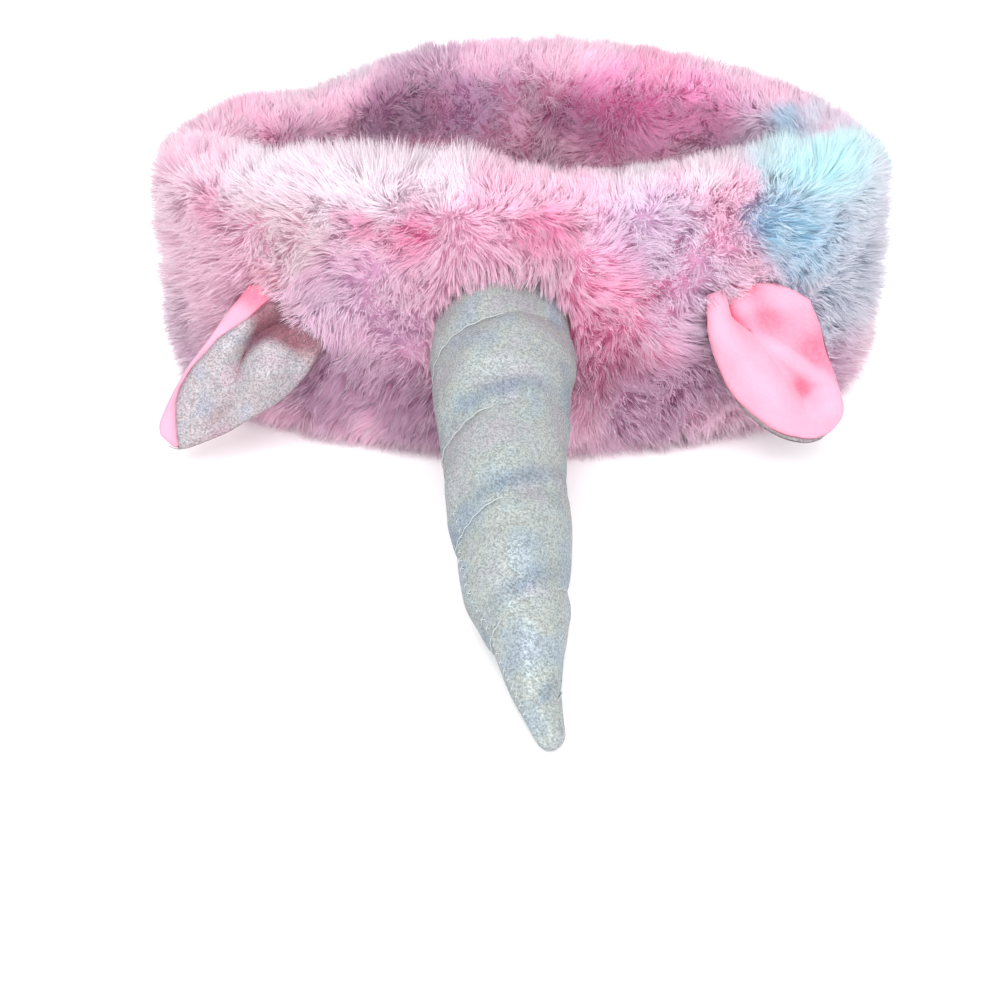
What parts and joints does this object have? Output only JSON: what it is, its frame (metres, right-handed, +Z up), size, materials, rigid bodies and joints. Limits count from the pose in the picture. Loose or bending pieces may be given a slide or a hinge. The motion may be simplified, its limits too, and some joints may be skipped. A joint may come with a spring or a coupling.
{
  "type": "unicorn horn headband",
  "caption": "Plush headband: a tall ring of deep soft fur with a stuffed spiral-stitched horn drooping from its front and a folded lined ear on each side.",
  "frame": {"origin": "middle of the underside of the whole part, where it lies on the table", "axes": "+Z up through the ring, -Y the way the horn points, +X the right-hand side seen from the horn's side"},
  "size_m": [0.2538, 0.2722, 0.1028],
  "materials": {
    "fur_band": "deep soft faux fur in pink, mauve and pale blue patches",
    "horn": "silver sparkle knit over stuffing, wound with fine thread",
    "right_ear_lining": "short pink plush",
    "right_ear_back": "silver sparkle knit",
    "left_ear_lining": "short pink plush",
    "left_ear_back": "silver sparkle knit"
  },
  "bodies": {
    "root": {"fur_band": "fur_band", "horn": "horn", "right_ear_lining": "right_ear_lining", "right_ear_back": "right_ear_back", "left_ear_lining": "left_ear_lining", "left_ear_back": "left_ear_back"}
  },
  "joints": []
}
